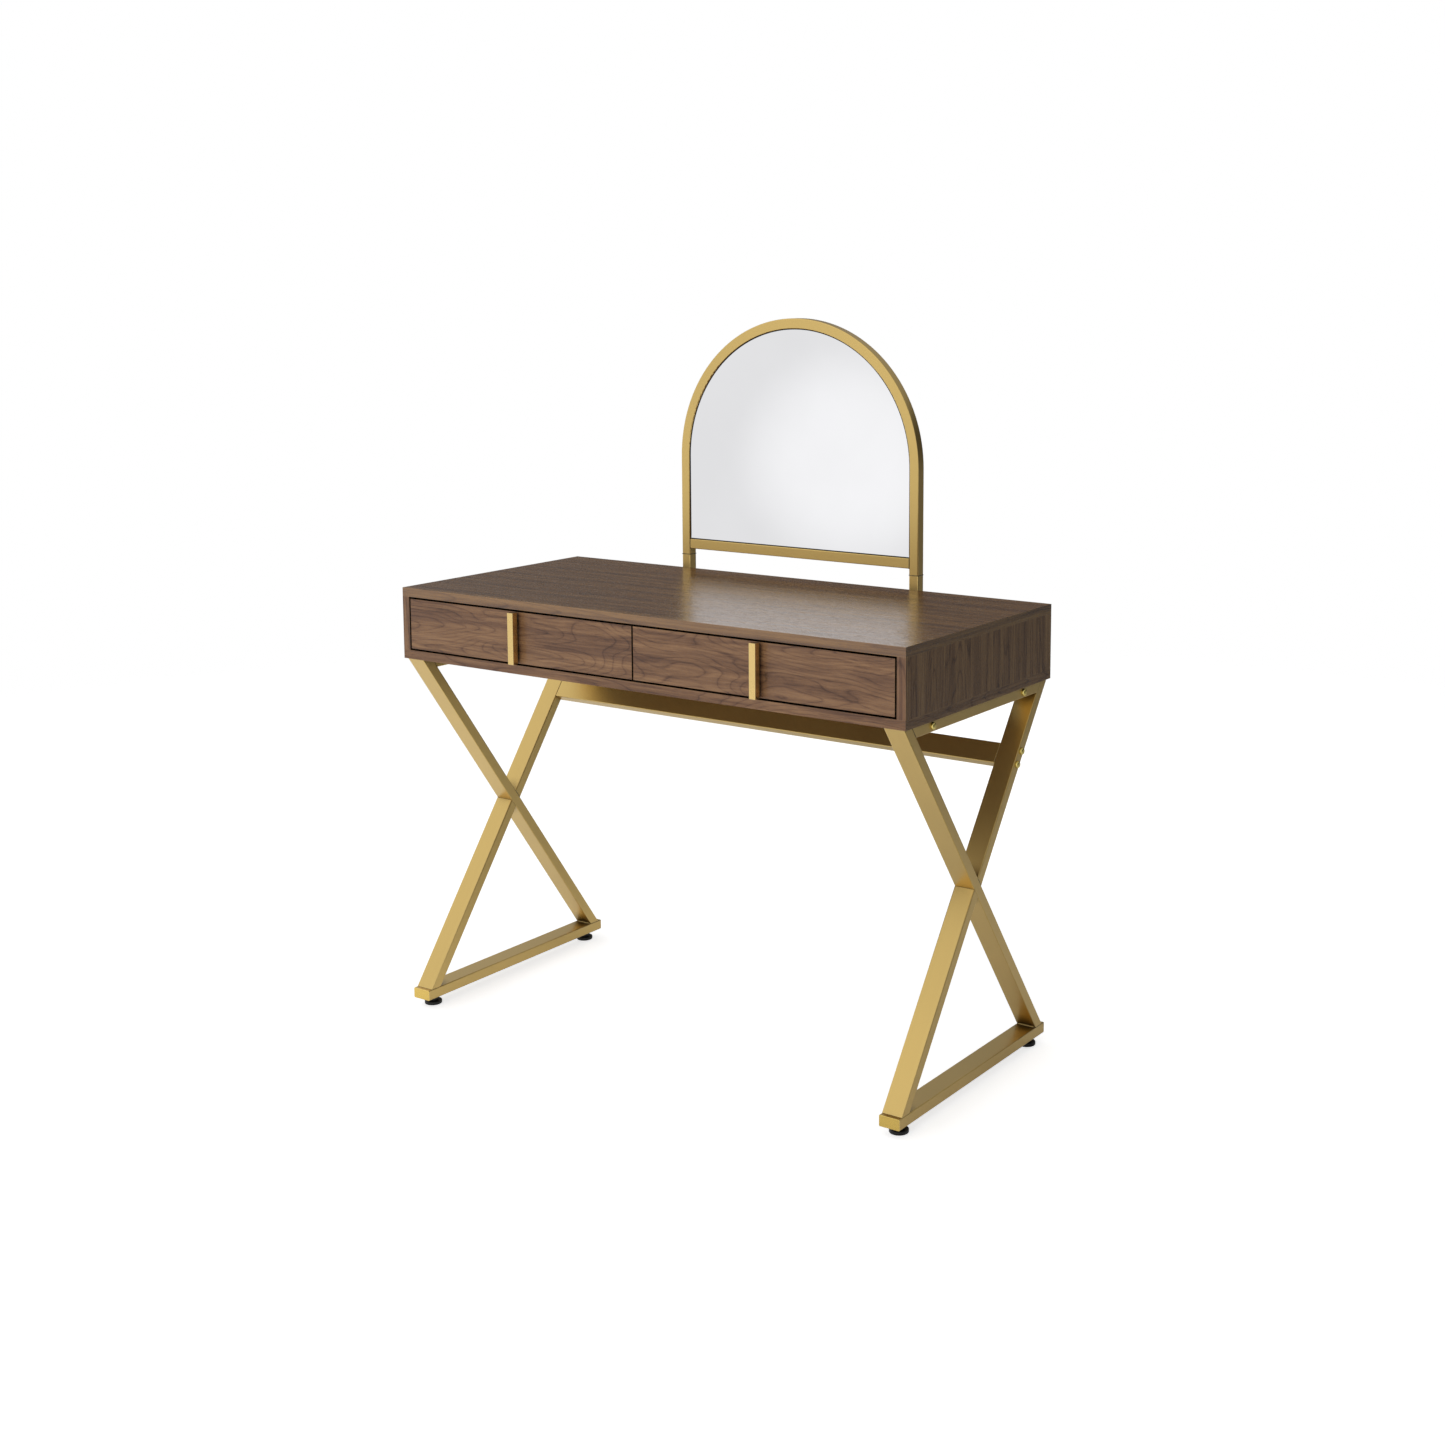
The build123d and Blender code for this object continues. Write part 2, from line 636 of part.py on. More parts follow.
def post_inserts():
    """Threaded brass inserts in the carcass back."""
    inserts = []
    for z in POST_BOLT_HEIGHTS:
        insert = rod(INSERT_RADIUS, (post_x, back_y, z), (0, -1, 0), INSERT_DEPTH)
        inserts.append(insert - rod(BOLT_RADIUS, (post_x, back_y, z), (0, -1, 0), INSERT_DEPTH))
    return both_sides(inserts)


# ---- drawer slides ------------------------------------------------------------------------------
def channel(wall_x, inward, near, far, half_height, sheet, y0, y1, web_at_far):
    """Sheet-metal channel lying along Y. near and far are measured from wall_x, inward is -1 or 1."""
    x_near = wall_x + inward * near
    x_far = wall_x + inward * far
    low_x, high_x = sorted((x_near, x_far))
    z0 = slide_mid_z - half_height
    z1 = slide_mid_z + half_height
    shape = block(low_x, high_x, y0, y1, z0, z1)
    web_x = x_far - inward * sheet if web_at_far else x_near + inward * sheet
    open_x = x_near - inward if web_at_far else x_far + inward
    hollow_low, hollow_high = sorted((web_x, open_x))
    return shape - block(hollow_low, hollow_high, y0, y1, z0 + sheet, z1 - sheet)


def cabinet_rail(wall_x, inward):
    """Outer channel on the cabinet wall, with its edges turned in."""
    half = CABINET_RAIL_HEIGHT / 2
    rail = channel(wall_x, inward, 0, CABINET_RAIL_REACH, half, SLIDE_SHEET,
                   slide_front_y, slide_back_y, False)
    lip_far = wall_x + inward * CABINET_RAIL_REACH
    lip_x = sorted((lip_far - inward * SLIDE_SHEET, lip_far))
    for end in (-1, 1):
        z = sorted((slide_mid_z + end * (half - SLIDE_SHEET - RAIL_LIP), slide_mid_z + end * half))
        rail += block(lip_x[0], lip_x[1], slide_front_y, slide_back_y, z[0], z[1])
    return rail


def drawer_rail(wall_x, inward):
    """Inner channel on the drawer's side, open towards the cabinet wall."""
    return channel(wall_x, inward, SLIDE_WIDTH - DRAWER_RAIL_REACH, SLIDE_WIDTH,
                   DRAWER_RAIL_HEIGHT / 2, SLIDE_SHEET, slide_front_y, slide_back_y, True)


def ball_spots(wall_x, inward):
    """Centres of the balls in both rows."""
    x = wall_x + inward * (CAGE_WEB_OFFSET + CAGE_REACH / 2 + 0.9)
    first = cage_mid_y - BALL_PITCH * (BALLS_PER_ROW - 1) / 2
    return [(x, first + BALL_PITCH * step, slide_mid_z + row * ball_z)
            for row in (-1, 1) for step in range(BALLS_PER_ROW)]


def ball_cage(wall_x, inward):
    """Thin channel that keeps the balls apart."""
    half = ball_z + CAGE_SHEET / 2
    cage = channel(wall_x, inward, CAGE_WEB_OFFSET, CAGE_WEB_OFFSET + CAGE_REACH, half, CAGE_SHEET,
                   cage_mid_y - CAGE_LENGTH / 2, cage_mid_y + CAGE_LENGTH / 2, False)
    for x, y, z in ball_spots(wall_x, inward):
        cage -= block_rod(x, y, z - CAGE_SHEET, z + CAGE_SHEET, BALL_HOLE_RADIUS)
    return cage


def bay_walls():
    """Right-hand bay: each wall's x and the direction away from it."""
    return ((bay_near_x, 1), (bay_far_x, -1))


def cage_set():
    """Both cages of a drawer, and their balls."""
    shapes = []
    for wall_x, inward in bay_walls():
        shapes.append(ball_cage(wall_x, inward))
        shapes += [Pos(*spot) * Sphere(BALL_RADIUS) for spot in ball_spots(wall_x, inward)]
    return Compound(shapes)


def rail_screw(x, y, inward):
    """Flat screw through a rail's web, its head on the side that faces inward."""
    return pan_screw((x, y, slide_mid_z), (inward, 0, 0), RAIL_SCREW_RADIUS, RAIL_SCREW_LENGTH,
                     RAIL_SCREW_HEAD_RADIUS, RAIL_SCREW_HEAD)


def cabinet_rail_screws():
    """Staggered in the divider, so that the two bays' screws miss each other."""
    stagger = 20.0
    screws = []
    for wall_x, inward in bay_walls():
        shift = stagger if inward == 1 else 0.0
        for end in (-1, 1):
            y = end * RAIL_SCREW_Y + shift
            screws.append(rail_screw(wall_x + inward * SLIDE_SHEET, y, inward))
    return screws


def cabinet_slide_rails():
    rails = []
    for wall_x, inward in bay_walls():
        rail = cabinet_rail(wall_x, inward)
        for screw in cabinet_rail_screws():
            rail -= screw
        rails.append(rail)
    return both_sides(rails)


def drawer_rail_screws():
    return [rail_screw(wall_x + inward * (SLIDE_WIDTH - SLIDE_SHEET), end * RAIL_SCREW_Y, -inward)
            for wall_x, inward in bay_walls() for end in (-1, 1)]


def drawer_slide_rails():
    rails = []
    for wall_x, inward in bay_walls():
        rail = drawer_rail(wall_x, inward)
        for screw in drawer_rail_screws():
            rail -= screw
        rails.append(rail)
    return Compound(rails)


def wood_screws():
    """Screws up into the box, into the cabinet walls and into the mirror's backing board."""
    screws = []
    for x, y in bracket_screw_spots():
        screws.append(pan_screw((x, y, box_bottom - BRACKET_THICK), (0, 0, -1), PANEL_SCREW_RADIUS,
                                PANEL_SCREW_LENGTH + BRACKET_THICK, PANEL_SCREW_HEAD_RADIUS,
                                PANEL_SCREW_HEAD))
    for screw in cabinet_rail_screws():
        screws += [screw, other_side(screw)]
    screws += [tab_screw(x, z) for x, z in mirror_tab_spots()]
    return Compound(screws)


# ---- drawers (the right-hand one; the left-hand one is its mirror image) -------------------------
def handle_screw_heights():
    half = HANDLE_SCREW_SPACING / 2
    return (drawer_mid_z - half, drawer_mid_z + half)


def handle_screw(z):
    head_radius = 4.0
    head_height = 2.2
    length = BOARD + HANDLE_STANDOFF + HANDLE_SCREW_BITE
    return pan_screw((handle_x, drawer_back_y, z), (0, 1, 0), HANDLE_SCREW_RADIUS, length,
                     head_radius, head_height)


def drawer_front():
    front = block(front_near_x, front_far_x, front_y, drawer_back_y, drawer_front_bottom, drawer_front_top)
    front -= drawer_bottom_groove()
    for spot in drawer_dowels():
        front -= spot
    for z in handle_screw_heights():
        front -= handle_screw(z)
    return front


def handle_bar():
    soft_edge = 0.6
    bar_back_y = front_y - HANDLE_STANDOFF
    bar = block(handle_x - HANDLE_WIDTH / 2, handle_x + HANDLE_WIDTH / 2,
                bar_back_y - HANDLE_DEPTH, bar_back_y, drawer_front_bottom, drawer_front_top)
    bar = fillet(bar.edges(), soft_edge)
    for z in handle_screw_heights():
        bar -= handle_screw(z)
    return bar


def handle():
    """Square bar and the two round standoffs between it and the drawer front."""
    pieces = [handle_bar()]
    for z in handle_screw_heights():
        standoff = rod(HANDLE_STANDOFF_RADIUS, (handle_x, front_y, z), (0, -1, 0), HANDLE_STANDOFF)
        pieces.append(standoff - handle_screw(z))
    return Compound(pieces)


def drawer_dowels():
    """Wooden pins between the front and the sides, and between the back and the sides."""
    in_board = 9.0
    in_end = 20.0
    radius = 3.0
    back_mid_y = drawer_end_y - DRAWER_BOARD / 2
    pins = []
    for side_x, inward in ((drawer_near_x, 1), (drawer_far_x, -1)):
        x = side_x + inward * DRAWER_BOARD / 2
        for z in (drawer_mid_z - 20.0, drawer_mid_z + 20.0):
            pins.append(rod(radius, (x, drawer_back_y - in_board, z), (0, 1, 0), in_board + in_end))
            start = (side_x + inward * (DRAWER_BOARD - in_board), back_mid_y, z)
            pins.append(rod(radius, start, (inward, 0, 0), in_board + in_end))
    return pins


def drawer_bottom_groove():
    low_x = drawer_near_x + DRAWER_BOARD - GROOVE_DEPTH
    high_x = drawer_far_x - DRAWER_BOARD + GROOVE_DEPTH
    return block(low_x - GROOVE_CLEARANCE, high_x + GROOVE_CLEARANCE,
                 drawer_back_y - GROOVE_DEPTH - GROOVE_CLEARANCE, drawer_end_y + 1.0,
                 drawer_bottom_z - GROOVE_CLEARANCE, drawer_bottom_z + DRAWER_BOTTOM_THICK + GROOVE_CLEARANCE)


def drawer_side(x0, x1):
    side = block(x0, x1, drawer_back_y, drawer_end_y, drawer_side_bottom, drawer_side_top)
    side -= drawer_bottom_groove()
    for cut in drawer_dowels() + drawer_rail_screws():
        side -= cut
    return side


def drawer_near_side():
    return drawer_side(drawer_near_x, drawer_near_x + DRAWER_BOARD)


def drawer_far_side():
    return drawer_side(drawer_far_x - DRAWER_BOARD, drawer_far_x)


def drawer_back():
    bottom = drawer_bottom_z + DRAWER_BOTTOM_THICK + GROOVE_CLEARANCE
    back = block(drawer_near_x + DRAWER_BOARD, drawer_far_x - DRAWER_BOARD, drawer_end_y - DRAWER_BOARD,
                 drawer_end_y, bottom, drawer_side_top)
    for pin in drawer_dowels():
        back -= pin
    return back


def drawer_bottom():
    return block(drawer_near_x + DRAWER_BOARD - GROOVE_DEPTH, drawer_far_x - DRAWER_BOARD + GROOVE_DEPTH,
                 drawer_back_y - GROOVE_DEPTH, drawer_end_y, drawer_bottom_z,
                 drawer_bottom_z + DRAWER_BOTTOM_THICK)


def drawer_screws():
    return Compound([handle_screw(z) for z in handle_screw_heights()] + drawer_rail_screws())


# ---- the whole table ----------------------------------------------------------------------------
def carcass_nodes():
    fittings = [piece for spot in cam_spots() for piece in cam_fitting(*spot)]
    return {
        "top_panel": top_panel(),
        "bottom_panel": bottom_panel(),
        "right_side_panel": side_panel(),
        "left_side_panel": other_side(side_panel()),
        "back_panel": back_panel(),
        "centre_divider": centre_divider(),
        "carcass_dowels": Compound(carcass_dowels()),
        "carcass_cam_fittings": Compound(fittings),
        "cabinet_slide_rails": cabinet_slide_rails(),
        "wood_screws": wood_screws(),
    }


def frame_nodes():
    pieces = {
        "front_leg": front_leg(),
        "rear_leg_upper": rear_leg_upper(),
        "rear_leg_lower": rear_leg_lower(),
        "top_rail": top_rail(),
        "floor_bar": floor_bar(),
    }
    nodes = {}
    for name, shape in pieces.items():
        nodes["right_" + name] = shape
        nodes["left_" + name] = other_side(shape)
    nodes["tube_end_caps"] = tube_end_caps()
    nodes["rear_stretcher"] = rear_stretcher()
    nodes["stretcher_end_plates"] = stretcher_end_plates()
    nodes["stretcher_bolts"] = stretcher_bolts()
    nodes["rail_bolts"] = rail_bolts()
    nodes["rail_brackets"] = rail_brackets()
    nodes["foot_inserts"] = both_sides([foot_insert(y) for y in (-foot_y, foot_y)])
    return nodes


def foot_nodes():
    nodes = {}
    for side_name, side in (("left", -1), ("right", 1)):
        for end_name, end in (("front", -1), ("rear", 1)):
            nodes[end_name + "_" + side_name + "_foot"] = levelling_foot(side, end)
    return nodes


def mirror_nodes():
    return {
        "mirror_arch_frame": mirror_arch_frame(),
        "mirror_crossbar": mirror_crossbar(),
        "mirror_glass": mirror_glass(),
        "mirror_backing_board": mirror_backing_board(),
        "mirror_tabs": mirror_tabs(),
        "right_mirror_post": mirror_post(),
        "left_mirror_post": other_side(mirror_post()),
        "post_bolts": post_bolts(),
        "post_inserts": post_inserts(),
    }


def drawer_nodes():
    pieces = {
        "front": drawer_front(),
        "inner_side": drawer_near_side(),
        "outer_side": drawer_far_side(),
        "back": drawer_back(),
        "bottom": drawer_bottom(),
        "dowels": Compound(drawer_dowels()),
        "slide_rails": drawer_slide_rails(),
        "ball_cages": cage_set(),
        "handle": handle(),
        "screws": drawer_screws(),
    }
    nodes = {}
    for name, shape in pieces.items():
        nodes["right_drawer_" + name] = shape
        nodes["left_drawer_" + name] = other_side(shape)
    return nodes


os.makedirs("parts", exist_ok=True)
for build_nodes in (carcass_nodes, frame_nodes, foot_nodes, mirror_nodes, drawer_nodes):
    for node, shape in build_nodes().items():
        export_step(shape, "parts/" + node + ".step")
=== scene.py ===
import math
import random

import bmesh
import bpy
from mathutils import Euler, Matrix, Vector


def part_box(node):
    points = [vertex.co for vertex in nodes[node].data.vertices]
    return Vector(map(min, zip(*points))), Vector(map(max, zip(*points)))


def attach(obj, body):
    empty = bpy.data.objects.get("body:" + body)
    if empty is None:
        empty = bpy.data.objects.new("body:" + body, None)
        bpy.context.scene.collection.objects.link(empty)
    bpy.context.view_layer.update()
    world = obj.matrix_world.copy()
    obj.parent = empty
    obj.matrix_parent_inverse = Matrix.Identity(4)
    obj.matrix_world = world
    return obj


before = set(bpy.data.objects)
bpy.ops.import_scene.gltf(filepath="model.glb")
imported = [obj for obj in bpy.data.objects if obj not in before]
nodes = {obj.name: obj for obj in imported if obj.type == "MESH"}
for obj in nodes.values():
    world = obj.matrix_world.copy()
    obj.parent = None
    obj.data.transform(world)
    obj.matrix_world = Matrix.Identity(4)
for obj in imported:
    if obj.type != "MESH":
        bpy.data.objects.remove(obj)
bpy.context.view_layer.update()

scene = bpy.context.scene
random.seed(11)

AXES = "XYZ"
SRGB_GAMMA = 2.2
# The share of a unit normal that has to lie along an axis for a face to count as facing that way.
FACING = 0.7

# ---- camera, fitted to the photograph's viewing angle -------------------------------------------
CAMERA_PLACE = (2.0486, -2.7473, 1.3398)
CAMERA_YAW = 0.5833
CAMERA_PITCH = 0.1328
CAMERA_LENS = 48.85
CAMERA_SENSOR = 36.0
CAMERA_SHIFT = (-0.0742, -0.1250)
CAMERA_REACH = 100


def add_camera():
    camera = bpy.data.objects.new("camera", bpy.data.cameras.new("camera"))
    scene.collection.objects.link(camera)
    camera.location = CAMERA_PLACE
    camera.rotation_euler = Euler((math.pi / 2 - CAMERA_PITCH, 0, CAMERA_YAW))
    camera.data.sensor_width = CAMERA_SENSOR
    camera.data.lens = CAMERA_LENS
    camera.data.shift_x, camera.data.shift_y = CAMERA_SHIFT
    camera.data.clip_end = CAMERA_REACH
    scene.camera = camera


# ---- colours ------------------------------------------------------------------------------------
def colour(red, green, blue):
    """A 0-255 display colour as the linear RGBA that shader sockets take."""
    return tuple((c / 255) ** SRGB_GAMMA for c in (red, green, blue)) + (1,)


def grey(level):
    return (level, level, level, 1)


def shaded(rgba, factor):
    """The colour made darker or lighter by a factor."""
    return tuple(min(1, c * factor) for c in rgba[:3]) + (1,)


# ---- node helpers -------------------------------------------------------------------------------
class NodeTree:
    """A node tree. Most methods add one node and return its output socket."""

    def __init__(self, tree):
        self.tree = tree
        self.add = tree.nodes.new
        tree.nodes.clear()

    def put(self, socket, value):
        if isinstance(value, bpy.types.NodeSocket):
            self.tree.links.new(value, socket)
        else:
            socket.default_value = value

    def math(self, operation, a, b=0.0):
        node = self.add("ShaderNodeMath")
        node.operation = operation
        self.put(node.inputs[0], a)
        self.put(node.inputs[1], b)
        return node.outputs[0]

    def plus(self, value, extra, share):
        """value + extra x share."""
        return self.math("ADD", value, self.math("MULTIPLY", extra, share))

    def swing(self, value, size):
        """A 0 to 1 value, centred on 0 and scaled."""
        return self.math("MULTIPLY", self.math("SUBTRACT", value, 0.5), size)

    def vector_math(self, operation, a, b=None):
        """Returns the node, because its result is a value or a vector, depending on the operation."""
        node = self.add("ShaderNodeVectorMath")
        node.operation = operation
        self.put(node.inputs[0], a)
        if b is not None:
            self.put(node.inputs[1], b)
        return node

    def dot(self, a, b):
        return self.vector_math("DOT_PRODUCT", a, b).outputs["Value"]

    def span(self, value, low, high, to_low=0.0, to_high=1.0, curve="LINEAR"):
        """Maps low..high to to_low..to_high, and holds the ends outside that."""
        node = self.add("ShaderNodeMapRange")
        node.clamp = True
        node.interpolation_type = curve
        self.put(node.inputs["Value"], value)
        ends = zip(("From Min", "From Max", "To Min", "To Max"), (low, high, to_low, to_high))
        for name, end in ends:
            node.inputs[name].default_value = end
        return node.outputs[0]

    def ramp(self, value, stops):
        node = self.add("ShaderNodeValToRGB")
        self.put(node.inputs[0], value)
        elements = node.color_ramp.elements
        elements[0].position, elements[0].color = stops[0]
        elements[1].position, elements[1].color = stops[-1]
        for position, stop in stops[1:-1]:
            elements.new(position).color = stop
        return node.outputs[0]

    def mix_shader(self, share, a, b):
        node = self.add("ShaderNodeMixShader")
        for socket, value in zip(node.inputs, (share, a, b)):
            self.put(socket, value)
        return node.outputs[0]


class Shader(NodeTree):
    """A material with a Principled surface."""

    def __init__(self, name):
        self.material = bpy.data.materials.new(name)
        self.material.use_nodes = True
        super().__init__(self.material.node_tree)
        self.output = self.add("ShaderNodeOutputMaterial")
        self.surface = self.add("ShaderNodeBsdfPrincipled")
        self.put(self.output.inputs["Surface"], self.surface.outputs["BSDF"])

    def set(self, **values):
        """Sets the surface's sockets, named with underscores for spaces."""
        for name, value in values.items():
            self.put(self.surface.inputs[name.replace("_", " ")], value)

    def place(self):
        return self.add("ShaderNodeTexCoord").outputs["Object"]

    def normal(self):
        """The object-space normal's three parts."""
        return self.split(self.add("ShaderNodeTexCoord").outputs["Normal"])

    def split(self, vector):
        node = self.add("ShaderNodeSeparateXYZ")
        self.put(node.inputs[0], vector)
        return node.outputs

    def join(self, x, y, z):
        node = self.add("ShaderNodeCombineXYZ")
        for socket, value in zip(node.inputs, (x, y, z)):
            self.put(socket, value)
        return node.outputs[0]

    def scaled(self, vector, scale, shift=(0, 0, 0)):
        node = self.add("ShaderNodeMapping")
        self.put(node.inputs["Vector"], vector)
        node.inputs["Scale"].default_value = scale
        node.inputs["Location"].default_value = shift
        return node.outputs[0]

    def noise(self, vector, scale, shift=(0, 0, 0), detail=2.0, roughness=0.5):
        """Noise near 0.5 that varies about scale times per metre along each axis."""
        node = self.add("ShaderNodeTexNoise")
        self.put(node.inputs["Vector"], self.scaled(vector, scale, shift))
        node.inputs["Scale"].default_value = 1.0
        node.inputs["Detail"].default_value = detail
        node.inputs["Roughness"].default_value = roughness
        return node.outputs["Fac"]

    def mix(self, share, a, b, blend="MIX"):
        node = self.add("ShaderNodeMix")
        node.data_type = "RGBA"
        node.blend_type = blend
        self.put(node.inputs["Factor"], share)
        self.put(node.inputs[6], a)
        self.put(node.inputs[7], b)
        return node.outputs[2]

    def mix_vector(self, share, a, b):
        node = self.add("ShaderNodeMix")
        node.data_type = "VECTOR"
        self.put(node.inputs["Factor"], share)
        self.put(node.inputs[4], a)
        self.put(node.inputs[5], b)
        return node.outputs[1]

    def faces(self, part):
        """1 on faces that look along the axis of this part of the normal, either way, and 0 elsewhere."""
        return self.math("GREATER_THAN", self.math("ABSOLUTE", part), FACING)

    def edge(self, radius):
        """1 along an outside or inside corner, fading to 0 on the flat within about radius."""
        bevel = self.add("ShaderNodeBevel")
        bevel.samples = 4
        bevel.inputs["Radius"].default_value = radius
        flat = self.add("ShaderNodeNewGeometry").outputs["Normal"]
        return self.span(self.dot(bevel.outputs[0], flat), 0.995, 0.80)

    def crevice_shade(self, reach, depth):
        """Painted shade: 1 in the open, falling to depth in gaps and grooves narrower than about reach."""
        near = self.add("ShaderNodeAmbientOcclusion")
        near.samples = 6
        near.inputs["Distance"].default_value = reach
        return self.span(near.outputs["AO"], 0.22, 0.80, depth, 1.0)

    def darkened(self, paint, level):
        return self.mix(1.0, paint, self.join(level, level, level), "MULTIPLY")

    def bump(self, height, distance, strength):
        node = self.add("ShaderNodeBump")
        node.inputs["Strength"].default_value = strength
        node.inputs["Distance"].default_value = distance
        self.put(node.inputs["Height"], height)
        self.put(self.surface.inputs["Normal"], node.outputs[0])


# ---- walnut -------------------------------------------------------------------------------------
# How far the grain lines stray sideways, in metres: in slow waves, and in short ripples.
GRAIN_WANDER = 0.022
GRAIN_RIPPLE = 0.0026
# Growth rings over the whole range of the figure's noise.
FIGURE_LINES = 30.0
RING_STOPS = [(0.0, 0.02), (0.04, 0.26), (0.11, 0.62), (0.45, 0.70), (0.82, 0.60), (0.95, 0.42),
              (1.0, 0.02)]
WOOD_STOPS = [(0.10, (50, 31, 22)), (0.32, (84, 57, 41)), (0.48, (111, 79, 57)),
              (0.64, (132, 97, 69)), (0.84, (156, 118, 84))]
WOOD_MAUVE = (94, 66, 54)
WOOD_WORN = (168, 134, 100)
WOOD_WEAR = 0.34
WOOD_EDGE = 0.0011
# Painted shade: faces looking along X, the desk's two ends, are multiplied darker and greener.
# The desk's right end is greener than its front in the photograph. The left end, unseen, is the same.
END_FACE_SHADE_TINT = (0.74, 0.84, 0.80, 1)
NO_TINT = (1, 1, 1)
BOARD_GLOSS = 0.45
WALNUT_BOARDS = {
    # node: (grain axis, grain axis on the end edges, pattern shift, figure flow, tint, gloss)
    "top_panel": ("X", "Y", (0.30, 0.10, 0.00), 0.55, (0.97, 0.95, 0.82), 0.9),
    "bottom_panel": ("X", "Y", (2.10, 1.30, 0.40), 1.6, NO_TINT, BOARD_GLOSS),
    "back_panel": ("X", "Z", (4.70, 0.20, 2.40), 1.6, NO_TINT, BOARD_GLOSS),
    "centre_divider": ("Z", "Y", (1.10, 3.40, 0.70), 1.0, NO_TINT, BOARD_GLOSS),
    "left_side_panel": ("Z", "Y", (3.30, 2.20, 5.10), 0.9, NO_TINT, BOARD_GLOSS),
    "right_side_panel": ("Z", "Y", (0.90, 5.20, 1.30), 0.9, NO_TINT, BOARD_GLOSS),
    "left_drawer_front": ("X", "Z", (0.00, 0.60, 3.20), 2.6, NO_TINT, BOARD_GLOSS),
    "right_drawer_front": ("X", "Z", (5.40, 3.70, 0.90), 2.6, NO_TINT, BOARD_GLOSS),
}


def axis_first(s, place, axis):
    """The place's three parts with one axis put first."""
    first = AXES.index(axis)
    others = [i for i in range(3) if i != first]
    return s.join(place[first], place[others[0]], place[others[1]])


def straying(s, space, flow):
    """The grain's space, bent across the grain by slow waves and short ripples."""
    wander = s.noise(space, (1.8 * flow, 14, 14))
    ripple = s.noise(space, (26, 90, 90), detail=3.0, roughness=0.6)
    drift = s.math("ADD", s.swing(wander, GRAIN_WANDER), s.swing(ripple, GRAIN_RIPPLE))
    along, across, through = s.split(space)
    return s.join(along, s.math("ADD", across, drift), s.math("ADD", through, drift))


def growth_rings(s, space, flow):
    """Thin dark lines where the figure passes each of its levels."""
    figure = s.noise(space, (flow, 11, 11), detail=1.6, roughness=0.45)
    rings = s.math("FRACT", s.math("MULTIPLY", figure, FIGURE_LINES))
    return s.ramp(rings, [(position, grey(level)) for position, level in RING_STOPS])


def grain_value(s, space, flow, streak, fibre, pore):
    """How light the wood is, from 0 to 1: wide bands, rings, streaks and fibres, less pores and dashes."""
    broad = s.noise(space, (0.9 * flow, 38, 38), (3.1, 0.7, 1.9), detail=3.0, roughness=0.6)
    band = s.noise(space, (1.3 * flow + 0.5, 78, 78), (6.4, 3.3, 0.8), roughness=0.6)
    dashes = s.noise(space, (34, 330, 330), (0.3, 7.2, 1.1), roughness=0.6)
    layers = [(growth_rings(s, space, flow), 0.36), (s.span(streak, 0.34, 0.66), 0.26), (fibre, 0.18),
              (pore, -0.14), (s.span(dashes, 0.56, 0.72), -0.11)]
    value = s.span(broad, 0.32, 0.68, 0.00, 0.20)
    value = s.math("ADD", value, s.span(band, 0.32, 0.68, -0.04, 0.20))
    for layer, share in layers:
        value = s.plus(value, layer, share)
    return value


def walnut(name, along, edge_along, shift, flow, tint, gloss):
    """Walnut veneer. The grain runs along one axis, and on the board's end edges along another.
    flow is how quickly the figure changes along the grain: low is straight, high is cathedral."""
    s = Shader(name)
    place = s.split(s.place())
    normal = s.normal()

    def tinted(display_colour):
        return colour(*(part * share for part, share in zip(display_colour, tint)))

    on_end = s.faces(normal[AXES.index(along)])
    space = s.mix_vector(on_end, axis_first(s, place, along), axis_first(s, place, edge_along))
    space = straying(s, s.scaled(space, (1, 1, 1), shift), flow)
    streak = s.noise(space, (4.5, 230, 230), (1.7, 4.2, 2.6), detail=4.0, roughness=0.65)
    fibre = s.noise(space, (22, 900, 900), roughness=0.6)
    pore = s.span(s.noise(space, (60, 2200, 2200), (5.0, 2.0, 8.0), detail=1.0), 0.58, 0.68)

    value = grain_value(s, space, flow, streak, fibre, pore)
    wood = s.ramp(value, [(position, tinted(stop)) for position, stop in WOOD_STOPS])
    mauve = s.noise(space, (1.1 * flow, 42, 42), (9.0, 1.0, 4.0))
    wood = s.mix(s.span(mauve, 0.45, 0.75, 0.0, 0.35), wood, tinted(WOOD_MAUVE))
    wood = s.mix(s.math("MULTIPLY", s.edge(WOOD_EDGE), WOOD_WEAR), wood, tinted(WOOD_WORN))
    # Painted shade on the end faces: darker and greener than the front.
    wood = s.mix(s.faces(normal[0]), wood, END_FACE_SHADE_TINT, "MULTIPLY")
    # Painted shade: faces that look down are darkened to half, and gaps and grooves are darkened too.
    underside_shade = s.span(normal[2], -0.6, -0.8, 1.0, 0.5)
    wood = s.darkened(wood, s.math("MULTIPLY", s.crevice_shade(0.009, 0.04), underside_shade))

    sheen = s.math("ADD", s.math("MULTIPLY", streak, 0.10), 0.20)
    s.set(Base_Color=wood, Roughness=s.plus(sheen, pore, 0.12), IOR=1.5, Specular_IOR_Level=gloss)
    s.bump(s.plus(fibre, pore, -1.6), 0.00008, 0.4)
    return s.material


# ---- other materials ----------------------------------------------------------------------------
METAL_PEEL = 0.22
# The lighter edges are partly rubbed wear and partly a painted highlight along the rounded edges.
METAL_EDGE = 0.0012
METAL_WEAR_AND_HIGHLIGHT = 0.85
METAL_GLOSS_SPREAD = 0.03
PLASTIC_ROUGHNESS = 0.34
# The glass's shading normal leans up by about this much, in radians, so that it reflects the pale
# studio. Its mesh stays upright.
MIRROR_LEAN = 0.035


